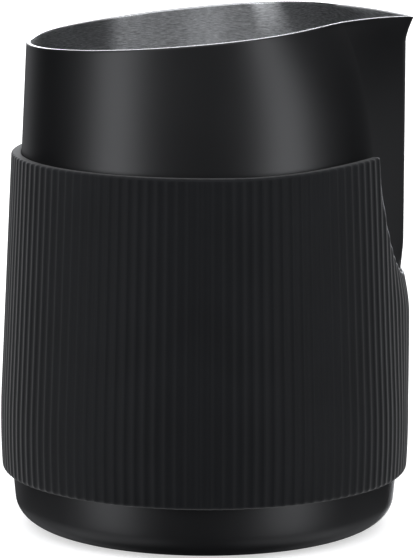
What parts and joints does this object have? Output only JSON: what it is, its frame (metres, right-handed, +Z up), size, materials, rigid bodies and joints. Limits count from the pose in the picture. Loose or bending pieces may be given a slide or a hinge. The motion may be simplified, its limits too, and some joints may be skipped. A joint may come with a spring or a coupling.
{
  "type": "milk frothing pitcher",
  "caption": "Handleless steel milk frothing pitcher with a slanted rim, a formed pouring spout and a soft fluted grip sleeve notched under the spout.",
  "frame": {"origin": "centre of the flat base, on the vessel's own axis", "axes": "+Z up along the vessel's axis, +X towards the pouring spout, +Y to the left when looking along the spout"},
  "size_m": [0.0879, 0.0876, 0.11],
  "materials": {
    "black_coat": "satin black coating on drawn stainless steel",
    "bare_steel": "uncoated brushed stainless steel, inside and on the rim edge",
    "sleeve_rubber": "matte black silicone with fine vertical flutes"
  },
  "bodies": {
    "pitcher": {"vessel": "black_coat"},
    "sleeve": {"grip_sleeve": "sleeve_rubber"}
  },
  "joints": [
    {"name": "grip_pull_off", "type": "slide", "parent": "pitcher", "child": "sleeve", "axis": [0, 0, 1], "range_m": [0, 0.1], "deforming": ["grip_sleeve"]}
  ]
}
